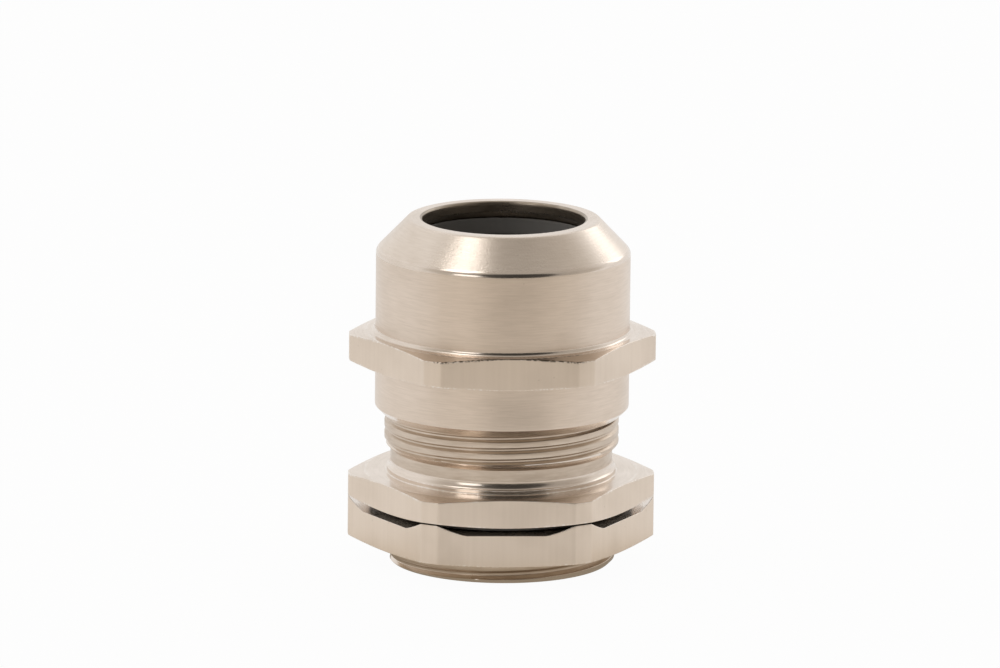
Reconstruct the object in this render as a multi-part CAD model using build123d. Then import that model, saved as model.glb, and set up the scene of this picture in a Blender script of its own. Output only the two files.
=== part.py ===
from build123d import *
import math
import os

# A nickel-plated brass cable gland, M20 x 1.5, for 10 to 14 mm cable, with an earthing locknut.
# Millimetres and degrees. +Z runs up the axis, from the entry thread to the cap nut.
# The origin is on the axis, in the underside of the flange, which is the face that meets the panel.
# The cap nut is drawn part of the way down its thread, and the locknut up against the flange.

FIT = 0.05                      # play between pieces that slide or turn on each other

# Hexagons of the cap nut, the flange and the locknut
ACROSS_FLATS = 24.0
CORNER_RADIUS = 13.4            # all three have their corners turned down to this
CAP_HEX_TURN = 0.7              # how far the cap nut's flats are turned from the flange's

# Both threads are plain cylinders of their major diameter, and the nuts are bored to clear them.
# Entry thread, M20 x 1.5
ENTRY_RADIUS = 10.0
ENTRY_END_Z = -5.4
ENTRY_END_CHAMFER = 0.35
ENTRY_RELIEF_Z = -0.75          # the thread stops here, in a plain neck under the O-ring

# Cap thread, 20.5 x 1.0
CAP_THREAD_RADIUS = 10.25
BODY_TOP_Z = 14.0
BODY_TOP_CHAMFER = 0.5

# Flange and neck of the body
FLANGE_TOP_Z = 2.5
FLANGE_TOP_DROP = 0.25          # chamfers of the flange's corners, measured along Z at the corner
FLANGE_BOTTOM_RISE = 0.38
NECK_RADIUS = 9.7
NECK_TOP_Z = 4.6
NECK_FOOT_RADIUS = 10.02
NECK_FOOT_Z = 2.9
NECK_COVE_Z = 3.25
NECK_COVE = 0.9                 # radius of the hollow between the foot and the neck

# O-ring and its groove in the flange's underside
GROOVE_INNER_RADIUS = 9.0
GROOVE_OUTER_RADIUS = 11.5
GROOVE_DEPTH = 1.0
RING_OUTER_RADIUS = 11.24
RING_INNER_RADIUS = 9.2

# Inside of the body
WIRE_BORE_RADIUS = 7.6
WIRE_BORE_TOP_Z = 4.4
BORE_CHAMFER = 0.3
CONTACT_BORE_RADIUS = 8.15
INSERT_SEAT_Z = 8.2
INSERT_BORE_RADIUS = 8.7

# Locknut
NUT_BOTTOM_Z = -3.45
NUT_BOTTOM_RISE = 0.25
CUP_FLOOR_Z = -0.63
CUP_FLOOR_RADIUS = 12.48        # the cup's 45 degree wall starts here and makes the corner teeth

# Cap nut
CAP_RADIUS = 11.1
SKIRT_Z = 7.75
SKIRT_CHAMFER = 0.7
CAP_HEX_BOTTOM_Z = 12.2
CAP_HEX_TOP_Z = 15.0
CAP_CORNER_DROP = 0.27
CAP_HEX_FILLET = 0.65
CONE_START_Z = 22.15
CONE_EDGE_ROUND = 0.2
RIM_Z = 25.0
RIM_RADIUS = 8.35
RIM_ROUND = 0.4
HOLE_RADIUS = 7.1
HOLE_ROUND = 0.2
HOLE_LAND_Z = 24.05             # the cable hole is a plain cylinder from here up to the rim
CAVITY_RADIUS = 9.8
CAP_THREAD_TOP_Z = 17.3

# Thrust ring, in the cap nut's cone
THRUST_BORE_RADIUS = 7.5
THRUST_WALL = 1.1
THRUST_BOTTOM_Z = 20.8

# Clamping insert, a cage of fingers
CAGE_RADIUS = 8.6
CAGE_INNER_RADIUS = 8.0
CAGE_HEAD_RADIUS = 9.15
CAGE_SHOULDER_Z = 14.1
CAGE_TOP_Z = 17.6
CAGE_TIP_RADIUS = 8.2
CAGE_SLOT_BOTTOM_Z = 11.2
CAGE_FINGERS = 12
CAGE_SLOT = 0.9

# Sealing insert
SEAL_RADIUS = 7.95
SEAL_BORE_RADIUS = 6.7
SEAL_TOP_Z = 17.4
SEAL_GROOVE_DEPTH = 0.4
SEAL_GROOVE_HEIGHT = 1.2
SEAL_GROOVES = 4
SEAL_GROOVE_STEP = 2.1

# Contact ring, bent from sheet
SHEET = 0.3
CONTACT_RADIUS = 8.6
CONTACT_BEND_RADIUS = 7.4
CONTACT_WAIST_RADIUS = 5.65
CONTACT_TIP_RADIUS = 6.25
CONTACT_TIP_Z = 4.9
CONTACT_FINGERS = 16
CONTACT_SLOT = 0.7
CONTACT_SLOT_OUTER_RADIUS = 7.3


def lathe(outline, rounds=()):
    """Turn a closed outline of (radius, z) corners round the axis, with some corners rounded."""
    face = make_face(Polyline(*outline, close=True))
    for corner, radius in rounds:
        vertex = face.vertices().sort_by_distance(corner)[0]
        face = fillet(vertex, radius)
    return revolve(Plane.XZ * face, Axis.Z)


def mill_hexagon(blank, bottom_z, top_z, turn=0.0):
    """Cut the six flats on a turned blank between two heights, the front one square to -Y."""
    height = top_z - bottom_z
    inside = extrude(RegularPolygon(ACROSS_FLATS / 2, 6, major_radius=False), height)
    chips = Pos(0, 0, height / 2) * Cylinder(CORNER_RADIUS + 1, height) - inside
    return blank - Pos(0, 0, bottom_z) * Rot(0, 0, turn) * chips


def saw_slots(ring, count, width, inner_radius, outer_radius, bottom_z, top_z):
    """Divide a ring into fingers with radial saw cuts."""
    saw = Box(outer_radius - inner_radius, width, top_z - bottom_z)
    place = Pos((inner_radius + outer_radius) / 2, 0, (bottom_z + top_z) / 2)
    for index in range(count):
        ring -= Rot(0, 0, 360 * index / count) * place * saw
    return ring


def gland_body():
    """Flange, neck and both screw threads, with the bore that holds the inserts."""
    flat = ACROSS_FLATS / 2
    blank = lathe(
        [
            (WIRE_BORE_RADIUS + BORE_CHAMFER, ENTRY_END_Z),
            (ENTRY_RADIUS - ENTRY_END_CHAMFER, ENTRY_END_Z),
            (ENTRY_RADIUS, ENTRY_END_Z + ENTRY_END_CHAMFER),
            (ENTRY_RADIUS, ENTRY_RELIEF_Z),
            (GROOVE_INNER_RADIUS, ENTRY_RELIEF_Z),
            (GROOVE_INNER_RADIUS, GROOVE_DEPTH),
            (GROOVE_OUTER_RADIUS, GROOVE_DEPTH),
            (GROOVE_OUTER_RADIUS, 0),
            (flat, 0),
            (CORNER_RADIUS, FLANGE_BOTTOM_RISE),
            (CORNER_RADIUS, FLANGE_TOP_Z - FLANGE_TOP_DROP),
            (flat, FLANGE_TOP_Z),
            (NECK_FOOT_RADIUS, FLANGE_TOP_Z),
            (NECK_FOOT_RADIUS, NECK_FOOT_Z),
            (NECK_RADIUS, NECK_COVE_Z),
            (NECK_RADIUS, NECK_TOP_Z),
            (CAP_THREAD_RADIUS, NECK_TOP_Z + CAP_THREAD_RADIUS - NECK_RADIUS),
            (CAP_THREAD_RADIUS, BODY_TOP_Z - BODY_TOP_CHAMFER),
            (CAP_THREAD_RADIUS - BODY_TOP_CHAMFER, BODY_TOP_Z),
            (INSERT_BORE_RADIUS, BODY_TOP_Z),
            (INSERT_BORE_RADIUS, INSERT_SEAT_Z),
            (CONTACT_BORE_RADIUS, INSERT_SEAT_Z),
            (CONTACT_BORE_RADIUS, WIRE_BORE_TOP_Z),
            (WIRE_BORE_RADIUS, WIRE_BORE_TOP_Z),
            (WIRE_BORE_RADIUS, ENTRY_END_Z + BORE_CHAMFER),
        ],
        rounds=[((NECK_RADIUS, NECK_COVE_Z), NECK_COVE)],
    )
    return mill_hexagon(blank, 0, FLANGE_TOP_Z)


def locknut():
    """Hexagon nut whose upper face is a cup, which leaves a sharp tooth at each corner."""
    bore = ENTRY_RADIUS + FIT
    flat = ACROSS_FLATS / 2
    blank = lathe(
        [
            (bore + BORE_CHAMFER, NUT_BOTTOM_Z),
            (flat, NUT_BOTTOM_Z),
            (CORNER_RADIUS, NUT_BOTTOM_Z + NUT_BOTTOM_RISE),
            (CORNER_RADIUS, CUP_FLOOR_Z + CORNER_RADIUS - CUP_FLOOR_RADIUS),
            (CUP_FLOOR_RADIUS, CUP_FLOOR_Z),
            (bore + BORE_CHAMFER, CUP_FLOOR_Z),
            (bore, CUP_FLOOR_Z - BORE_CHAMFER),
            (bore, NUT_BOTTOM_Z + BORE_CHAMFER),
        ]
    )
    return mill_hexagon(blank, NUT_BOTTOM_Z, FLANGE_TOP_Z)


def flange_o_ring():
    """Rubber ring squeezed to an oval section between the flange's groove and the locknut."""
    bottom_z = CUP_FLOOR_Z + FIT
    top_z = GROOVE_DEPTH - FIT
    oval = Ellipse((RING_OUTER_RADIUS - RING_INNER_RADIUS) / 2, (top_z - bottom_z) / 2)
    middle = Pos((RING_OUTER_RADIUS + RING_INNER_RADIUS) / 2, (bottom_z + top_z) / 2)
    return revolve(Plane.XZ * middle * oval, Axis.Z)


def cone_radius(z):
    """Radius of the cap nut's inner cone, which is 45 degrees and ends at the hole's land."""
    return HOLE_RADIUS + HOLE_LAND_Z - z


def cap_nut():
    """Compression nut: plain skirt, hexagon collar, plain barrel and a coned nose."""
    bore = CAP_THREAD_RADIUS + FIT
    flat = ACROSS_FLATS / 2
    cavity_top_z = HOLE_LAND_Z - (CAVITY_RADIUS - HOLE_RADIUS)
    blank = lathe(
        [
            (bore, SKIRT_Z),
            (CAP_RADIUS - SKIRT_CHAMFER, SKIRT_Z),
            (CAP_RADIUS, SKIRT_Z + SKIRT_CHAMFER),
            (CAP_RADIUS, CAP_HEX_BOTTOM_Z),
            (flat, CAP_HEX_BOTTOM_Z),
            (CORNER_RADIUS, CAP_HEX_BOTTOM_Z + CAP_CORNER_DROP),
            (CORNER_RADIUS, CAP_HEX_TOP_Z - CAP_CORNER_DROP),
            (flat, CAP_HEX_TOP_Z),
            (CAP_RADIUS, CAP_HEX_TOP_Z),
            (CAP_RADIUS, CONE_START_Z),
            (RIM_RADIUS, RIM_Z),
            (HOLE_RADIUS, RIM_Z),
            (HOLE_RADIUS, HOLE_LAND_Z),
            (CAVITY_RADIUS, cavity_top_z),
            (CAVITY_RADIUS, CAP_THREAD_TOP_Z),
            (bore, CAP_THREAD_TOP_Z),
        ],
        rounds=[
            ((CAP_RADIUS, CAP_HEX_TOP_Z), CAP_HEX_FILLET),
            ((CAP_RADIUS, CONE_START_Z), CONE_EDGE_ROUND),
            ((RIM_RADIUS, RIM_Z), RIM_ROUND),
            ((HOLE_RADIUS, RIM_Z), HOLE_ROUND),
        ],
    )
    return mill_hexagon(blank, CAP_HEX_BOTTOM_Z, CAP_HEX_TOP_Z, CAP_HEX_TURN)


def thrust_ring():
    """Plastic slip ring between the cap nut's cone and the fingers of the clamping insert."""
    play = FIT * math.sqrt(2)
    step = THRUST_WALL * math.sqrt(2) + play
    outer = CAVITY_RADIUS - play
    apex_z = HOLE_LAND_Z + HOLE_RADIUS
    return lathe(
        [
            (THRUST_BORE_RADIUS, apex_z - play - THRUST_BORE_RADIUS),
            (outer, apex_z - play - outer),
            (outer, THRUST_BOTTOM_Z),
            (cone_radius(THRUST_BOTTOM_Z) - step, THRUST_BOTTOM_Z),
            (THRUST_BORE_RADIUS, apex_z - step - THRUST_BORE_RADIUS),
        ]
    )


def clamping_insert():
    """Plastic cage: a ring in the body's bore, with fingers that the thrust ring bends inwards."""
    bottom_z = INSERT_SEAT_Z + SHEET
    shoulder = CAGE_HEAD_RADIUS - CAGE_RADIUS
    cage = lathe(
        [
            (CAGE_INNER_RADIUS, bottom_z),
            (CAGE_RADIUS, bottom_z),
            (CAGE_RADIUS, CAGE_SHOULDER_Z),
            (CAGE_HEAD_RADIUS, CAGE_SHOULDER_Z + shoulder),
            (CAGE_HEAD_RADIUS, CAGE_TOP_Z + CAGE_TIP_RADIUS - CAGE_HEAD_RADIUS),
            (CAGE_TIP_RADIUS, CAGE_TOP_Z),
            (CAGE_INNER_RADIUS, CAGE_TOP_Z),
        ]
    )
    reach = (CAGE_INNER_RADIUS - 1, CAGE_HEAD_RADIUS + 1)
    return saw_slots(cage, CAGE_FINGERS, CAGE_SLOT, *reach, CAGE_SLOT_BOTTOM_Z, CAGE_TOP_Z + 1)


def sealing_insert():
    """Rubber sleeve inside the cage, with shallow grooves between its sealing lips."""
    bottom_z = INSERT_SEAT_Z + SHEET
    sleeve = lathe(
        [
            (SEAL_BORE_RADIUS, bottom_z),
            (SEAL_RADIUS, bottom_z),
            (SEAL_RADIUS, SEAL_TOP_Z),
            (SEAL_BORE_RADIUS, SEAL_TOP_Z),
        ]
    )
    for index in range(SEAL_GROOVES):
        low_z = bottom_z + SEAL_GROOVE_STEP * (index + 0.5)
        groove = Cylinder(SEAL_BORE_RADIUS + SEAL_GROOVE_DEPTH, SEAL_GROOVE_HEIGHT)
        sleeve -= Pos(0, 0, low_z + SEAL_GROOVE_HEIGHT / 2) * groove
    return sleeve


def contact_ring():
    """Sheet spring: a flat ring on the body's seat, with fingers that pinch the cable's braid."""
    middle_z = INSERT_SEAT_Z + SHEET / 2
    waist_z = middle_z - (CONTACT_BEND_RADIUS - CONTACT_WAIST_RADIUS)
    line = Polyline(
        (CONTACT_RADIUS, middle_z),
        (CONTACT_BEND_RADIUS, middle_z),
        (CONTACT_WAIST_RADIUS, waist_z),
        (CONTACT_TIP_RADIUS, CONTACT_TIP_Z),
    )
    ring = revolve(Plane.XZ * trace(line, SHEET), Axis.Z)
    reach = (CONTACT_WAIST_RADIUS - 1, CONTACT_SLOT_OUTER_RADIUS)
    top_z = INSERT_SEAT_Z + SHEET + 1
    return saw_slots(ring, CONTACT_FINGERS, CONTACT_SLOT, *reach, CONTACT_TIP_Z - 1, top_z)


def main():
    """Write one STEP file for each piece."""
    pieces = {
        "gland_body": gland_body(),
        "locknut": locknut(),
        "flange_o_ring": flange_o_ring(),
        "cap_nut": cap_nut(),
        "thrust_ring": thrust_ring(),
        "clamping_insert": clamping_insert(),
        "sealing_insert": sealing_insert(),
        "contact_ring": contact_ring(),
    }
    os.makedirs("parts", exist_ok=True)
    for name, shape in pieces.items():
        export_step(shape, f"parts/{name}.step")
        print(f"{name}: {len(shape.solids())} solid, {shape.volume:.1f} mm3, valid {shape.is_valid}")


main()
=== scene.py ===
import logging
import math
from dataclasses import dataclass, replace
from enum import Enum
from typing import Callable, Sequence

import bmesh
import bpy
import numpy as np
from mathutils import Matrix, Quaternion, Vector


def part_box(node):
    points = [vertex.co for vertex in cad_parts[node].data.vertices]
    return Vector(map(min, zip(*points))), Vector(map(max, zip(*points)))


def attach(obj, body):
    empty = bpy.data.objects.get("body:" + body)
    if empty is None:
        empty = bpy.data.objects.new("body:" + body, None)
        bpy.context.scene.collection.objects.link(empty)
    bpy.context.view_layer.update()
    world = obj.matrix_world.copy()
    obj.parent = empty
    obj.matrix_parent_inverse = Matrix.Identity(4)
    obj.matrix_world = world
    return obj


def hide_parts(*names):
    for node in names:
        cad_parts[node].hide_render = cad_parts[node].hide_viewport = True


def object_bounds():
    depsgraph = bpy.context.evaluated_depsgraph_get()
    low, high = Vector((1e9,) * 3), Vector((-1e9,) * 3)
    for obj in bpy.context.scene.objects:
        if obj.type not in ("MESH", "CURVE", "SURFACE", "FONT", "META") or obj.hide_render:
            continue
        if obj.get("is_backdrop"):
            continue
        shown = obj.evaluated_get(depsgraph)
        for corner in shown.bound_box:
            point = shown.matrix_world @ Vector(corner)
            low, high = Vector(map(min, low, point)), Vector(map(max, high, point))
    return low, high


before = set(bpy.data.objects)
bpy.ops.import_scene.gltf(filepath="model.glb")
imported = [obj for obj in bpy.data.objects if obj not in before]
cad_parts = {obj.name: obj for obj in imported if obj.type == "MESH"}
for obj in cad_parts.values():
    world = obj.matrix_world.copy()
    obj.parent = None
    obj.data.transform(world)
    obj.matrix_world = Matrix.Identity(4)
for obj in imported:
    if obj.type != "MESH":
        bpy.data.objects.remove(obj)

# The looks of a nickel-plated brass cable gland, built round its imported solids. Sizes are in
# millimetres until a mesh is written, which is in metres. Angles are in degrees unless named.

LOG = logging.getLogger("cable_gland")
MM = 0.001
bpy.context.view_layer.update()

Point = tuple[float, float]


class Finish(Enum):
    """The finishes that a stretch of an outline can have."""

    TURNED = "nickel_turned"
    BRIGHT = "nickel_bright"
    NOSE = "nickel_nose"
    FACED = "nickel_faced"
    MILLED = "nickel_milled"
    THREAD = "nickel_thread"
    BORE = "nickel_bore"
    NYLON = "black_nylon"
    RUBBER = "black_rubber"
    SPRING = "tinned_spring"


class Grain(Enum):
    """The way that tool marks run on a metal surface."""

    AROUND = "around the axis"
    ALONG = "along the axis"


# ---------------------------------------------------------------------------------------------
# Outlines
# ---------------------------------------------------------------------------------------------


@dataclass(frozen=True)
class Corner:
    """One corner of a turned outline, in millimetres.

    finish is what the stretch after this corner is made in, and arc what its round is made in
    where that differs.
    """

    r: float
    z: float
    round: float = 0.0
    finish: Finish = Finish.TURNED
    arc: Finish | None = None


@dataclass(frozen=True)
class Row:
    """One vertex of an outline at one angle, with the finish of the face after it.

    wear is 1 on a sharp edge, where handling rubs, and 0 away from it.
    """

    r: float
    z: float
    finish: Finish
    wear: float = 0.0


# How far a nut's thread stops short of its faces
END_GAP = 0.02

ARC_STEPS = 4
SUPPORT = 0.16
SHARP_ROUND = 0.1


def rounded(corners: Sequence[Corner]) -> list[Row]:
    """Turn the corners of a closed outline into rows, with arcs at the rounded ones.

    Each rounded corner gets the same number of rows at every angle, so that the rows of
    neighbouring angles join up. An arc shrinks where its two sides are too short for it.

    Args:
        corners: The closed outline's corners, in order.

    Returns:
        The outline's rows, in the same order.
    """
    rows = []
    for index, corner in enumerate(corners):
        here = Vector((corner.r, corner.z))
        if corner.round <= 0:
            rows.append(Row(here.x, here.y, corner.finish))
            continue
        before, after = corners[index - 1], corners[(index + 1) % len(corners)]
        back = Vector((before.r, before.z)) - here
        ahead = Vector((after.r, after.z)) - here
        room = 0.45 * min(back.length, ahead.length)
        turn = math.pi - back.angle(ahead, math.pi)
        reach = min(corner.round * math.tan(turn / 2), room)
        hold = min(reach + SUPPORT, room * 1.06)
        back.normalize()
        ahead.normalize()
        weight = math.cos(turn / 2)
        arc = corner.arc or corner.finish
        wear = 1.0 if corner.round <= SHARP_ROUND else 0.0
        rows.append(Row(*(here + back * hold), corners[index - 1].finish))
        for step in range(ARC_STEPS + 1):
            s = step / ARC_STEPS
            shares = ((1 - s) ** 2, 2 * s * (1 - s) * weight, s * s)
            points = (here + back * reach, here, here + ahead * reach)
            total = sum(shares)
            spot = sum((point * share for point, share in zip(points, shares)), Vector((0, 0)))
            rows.append(Row(spot.x / total, spot.y / total, arc, wear))
        rows.append(Row(*(here + ahead * hold), corner.finish))
    return rows


def smooth_step(value: float) -> float:
    """Ease from 0 to 1 as value goes from 0 to 1."""
    value = min(max(value, 0.0), 1.0)
    return value * value * (3 - 2 * value)


@dataclass(frozen=True)
class Hexagon:
    """The plan of a hexagon whose corners are turned down to a circle.

    turn is how far its front flat is turned from -Y, in degrees.
    """

    across_flats: float
    corner_radius: float
    turn: float = 0.0
    edge_softness: float = 0.03

    def flat_angle(self, angle: float) -> float:
        """Angle in radians between a direction and the nearest flat's normal.

        Args:
            angle: The direction, in radians.

        Returns:
            The signed angle, at most 30 degrees either way.
        """
        step = math.pi / 3
        offset = angle - math.radians(self.turn - 90)
        return offset - step * round(offset / step)

    def radius(self, angle: float) -> float:
        """Distance from the axis to the side at an angle, with the upright edges softened.

        Args:
            angle: The direction, in radians.

        Returns:
            The distance, in millimetres.
        """
        flat = self.across_flats / 2 / math.cos(self.flat_angle(angle))
        gap = (flat - self.corner_radius) / self.edge_softness
        if gap > 30:
            return self.corner_radius
        return flat - self.edge_softness * math.log1p(math.exp(gap))

    def chamfer(self, side: float, inset: float) -> tuple[float, float]:
        """Where the chamfer of a hexagon's edge starts, and how much of its drop the side has.

        Args:
            side: The side's distance from the axis.
            inset: How far inside the flats the chamfer starts.

        Returns:
            The chamfer's inner radius, and a share that is 1 at a corner.
        """
        start = self.across_flats / 2 - inset
        return start, (side - start) / (self.corner_radius - start)

    def edge_angles(self, radius: float, spread: Sequence[float]) -> list[float]:
        """Angles of the columns near each place where the flats reach a radius.

        Args:
            radius: The radius that the flats reach there, in millimetres.
            spread: Offsets of the columns from each place, in degrees.

        Returns:
            The columns' angles, in radians.
        """
        reach = math.acos(self.across_flats / 2 / radius)
        front = math.radians(self.turn - 90)
        return [
            front + math.pi / 3 * side + sign * reach + math.radians(offset)
            for side in range(6)
            for sign in (-1, 1)
            for offset in spread
        ]


# One pitch of a thread from crest to crest: (share of the pitch, share of the depth)
THREAD_FORM: tuple[Point, ...] = (
    (0.0, 0.0),
    (0.21, 0.0),
    (0.235, 0.015),
    (0.26, 0.09),
    (0.40, 0.91),
    (0.425, 0.985),
    (0.45, 1.0),
    (0.5, 1.0),
    (0.55, 1.0),
    (0.575, 0.985),
    (0.60, 0.91),
    (0.74, 0.09),
    (0.765, 0.015),
    (0.79, 0.0),
)


@dataclass(frozen=True)
class Thread:
    """A right-handed screw thread or the thread of the nut that fits it.

    crest_z is the height of one of the screw's crests over the +X axis. The groove fades out
    over fade_low and fade_high at its two ends. inset is how far a nut's ridges stop short of
    the screw's roots, and play how far the nut stands off the screw.
    """

    radius: float
    pitch: float
    crest_z: float
    low_z: float
    high_z: float
    fade_low: float = 0.15
    fade_high: float = 0.15
    play: float = 0.07
    inset: float = 0.08
    depth_share: float = 0.30

    def heights(self, angle: float) -> list[tuple[float, float]]:
        """Every row of the thread at an angle, as (height, share of the depth), going up.

        Args:
            angle: The column's angle, in radians.

        Returns:
            The rows, with whole turns to spare beyond both ends.
        """
        first = math.floor((self.low_z - self.crest_z) / self.pitch) - 1
        last = math.ceil((self.high_z - self.crest_z) / self.pitch) + 1
        lift = angle / (2 * math.pi)
        return [
            (self.crest_z + self.pitch * (turn + share + lift), depth)
            for turn in range(first, last)
            for share, depth in THREAD_FORM
        ]

    def fade(self, z: float) -> float:
        """How much of the thread's depth is cut at a height.

        Args:
            z: The height.

        Returns:
            The share, 0 at either end and 1 away from both.
        """
        low = (z - self.low_z) / self.fade_low
        high = (self.high_z - z) / self.fade_high
        return smooth_step(min(low, high, 1.0))

    def screw_rows(self, angle: float, blank: Callable[[float], float]) -> list[Row]:
        """Rows of the screw going up, cut into a blank.

        Args:
            angle: The column's angle, in radians.
            blank: The blank's radius at a height.

        Returns:
            The rows, with those beyond either end gathered on it.
        """
        rows = []
        for height, depth in self.heights(angle):
            z = min(max(height, self.low_z), self.high_z)
            groove = depth * self.depth_share * self.pitch * self.fade(z)
            cut = self.radius - groove
            whole = blank(z)
            finish = Finish.THREAD if whole > self.radius - 0.01 else Finish.BRIGHT
            rows.append(Row(min(whole, cut) if groove > 0 else whole, z, finish))
        return rows

    def nut_rows(self, angle: float, mouth: Callable[[float], float]) -> list[Row]:
        """Rows of the nut going down, opened out by its mouth's chamfer.

        Args:
            angle: The column's angle, in radians.
            mouth: The least radius at a height that the chamfer leaves.

        Returns:
            The rows, with those beyond either end gathered on it.
        """
        rows = []
        deepest = self.depth_share * self.pitch - self.inset
        for height, depth in reversed(self.heights(angle)):
            z = min(max(height, self.low_z), self.high_z)
            ridge = min(depth * self.depth_share * self.pitch, deepest) * self.fade(z)
            radius = max(self.radius + self.play - ridge, mouth(z))
            rows.append(Row(radius, z, Finish.THREAD))
        return rows


# ---------------------------------------------------------------------------------------------
# Meshes
# ---------------------------------------------------------------------------------------------

COLUMN_STEP = 2.5
EDGE_SPREAD = (-0.55, -0.25, -0.1, 0.0, 0.1, 0.25, 0.55)
MERGE_DISTANCE = 4e-7
SHARP_ANGLE = math.radians(42)
FINGER_SHARP_ANGLE = math.radians(30)


def columns(extra: Sequence[float] = ()) -> list[float]:
    """Angles of a turned piece's columns, from 0 to a full turn with both ends included.

    Args:
        extra: Further angles in radians, such as those of a hexagon's edges.

    Returns:
        The angles in order, in radians.
    """
    full = 2 * math.pi
    near = math.radians(0.04)
    plain = [math.radians(COLUMN_STEP * index) for index in range(round(360 / COLUMN_STEP))]
    wanted = sorted([angle % full for angle in extra])
    kept = [angle for angle in plain if all(abs(angle - other) > 4 * near for other in wanted)]
    merged = [0.0]
    for angle in sorted(kept + wanted):
        if near < angle < full - near and angle - merged[-1] > near:
            merged.append(angle)
    return merged + [full]


def turned_mesh(
    name: str, outline: Callable[[float], list[Row]], angles: Sequence[float]
) -> bpy.types.Mesh:
    """Turn a closed outline round the axis into one closed skin.

    Args:
        name: The mesh's name.
        outline: Gives the rows of the outline at an angle, as many at every angle.
        angles: The columns' angles, in radians, from 0 to a full turn.

    Returns:
        The mesh, in metres, with one material index for each finish in the order of Finish.
    """
    rings = [outline(angle) for angle in angles]
    count = len(rings[0])
    points = np.array(
        [
            (row.r * math.cos(angle) * MM, row.r * math.sin(angle) * MM, row.z * MM)
            for angle, ring in zip(angles, rings)
            for row in ring
        ]
    )
    finishes = list(Finish)
    slots = [finishes.index(row.finish) for ring in rings[:-1] for row in ring]
    wear = [row.wear for ring in rings for row in ring]
    column, row = np.meshgrid(np.arange(len(angles) - 1), np.arange(count), indexing="ij")
    above = (row + 1) % count
    faces = np.stack(
        [
            column * count + row,
            (column + 1) * count + row,
            (column + 1) * count + above,
            column * count + above,
        ],
        axis=-1,
    ).reshape(-1, 4)
    mesh = bpy.data.meshes.new(name)
    mesh.from_pydata(points.tolist(), [], faces.tolist())
    mesh.polygons.foreach_set("material_index", slots)
    mesh.attributes.new("wear", "FLOAT", "POINT").data.foreach_set("value", wear)
    return mesh


def tidy(mesh: bpy.types.Mesh) -> bpy.types.Mesh:
    """Join the seam, drop empty faces, and shade the rest smooth between its sharp edges.

    Args:
        mesh: The mesh, which is changed in place.

    Returns:
        The same mesh.
    """
    shape = bmesh.new()
    shape.from_mesh(mesh)
    bmesh.ops.remove_doubles(shape, verts=shape.verts, dist=MERGE_DISTANCE)
    bmesh.ops.dissolve_degenerate(shape, edges=shape.edges, dist=MERGE_DISTANCE)
    shape.to_mesh(mesh)
    shape.free()
    mesh.shade_smooth()
    mesh.set_sharp_from_angle(angle=SHARP_ANGLE)
    return mesh


def dressed(name: str, mesh: bpy.types.Mesh, palette: "Palette") -> bpy.types.Object:
    """Make an object of a mesh and give it only the materials that its faces use.

    Args:
        name: The object's name.
        mesh: A mesh whose material indices follow the order of Finish.
        palette: Where the materials come from.

    Returns:
        The object, at the origin.
    """
    finishes = list(Finish)
    indices = np.zeros(len(mesh.polygons), np.int32)
    mesh.polygons.foreach_get("material_index", indices)
    used = sorted(set(indices.tolist()))
    mesh.materials.clear()
    for index in used:
        mesh.materials.append(palette.material(finishes[index]))
    mesh.polygons.foreach_set("material_index", np.searchsorted(used, indices))
    piece = bpy.data.objects.new(name, mesh)
    bpy.context.scene.collection.objects.link(piece)
    return piece


# ---------------------------------------------------------------------------------------------
# Materials
# ---------------------------------------------------------------------------------------------


def feed(tree: bpy.types.NodeTree, socket: bpy.types.NodeSocket, value: object) -> None:
    """Link an output to a socket, or write a plain value into it.

    Args:
        tree: The tree that both sockets are in.
        socket: The input.
        value: An output socket or a plain value.
    """
    if isinstance(value, bpy.types.NodeSocket):
        tree.links.new(value, socket)
    else:
        socket.default_value = value


def math_node(tree: bpy.types.NodeTree, operation: str, *values: object) -> bpy.types.NodeSocket:
    """Result of a Math node on numbers or sockets.

    Args:
        tree: The tree that gets the node.
        operation: The node's operation.
        *values: Numbers or output sockets, in the order of the node's inputs.

    Returns:
        The result's socket.
    """
    node = tree.nodes.new("ShaderNodeMath")
    node.operation = operation
    for socket, value in zip(node.inputs, values):
        feed(tree, socket, value)
    return node.outputs[0]


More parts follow.
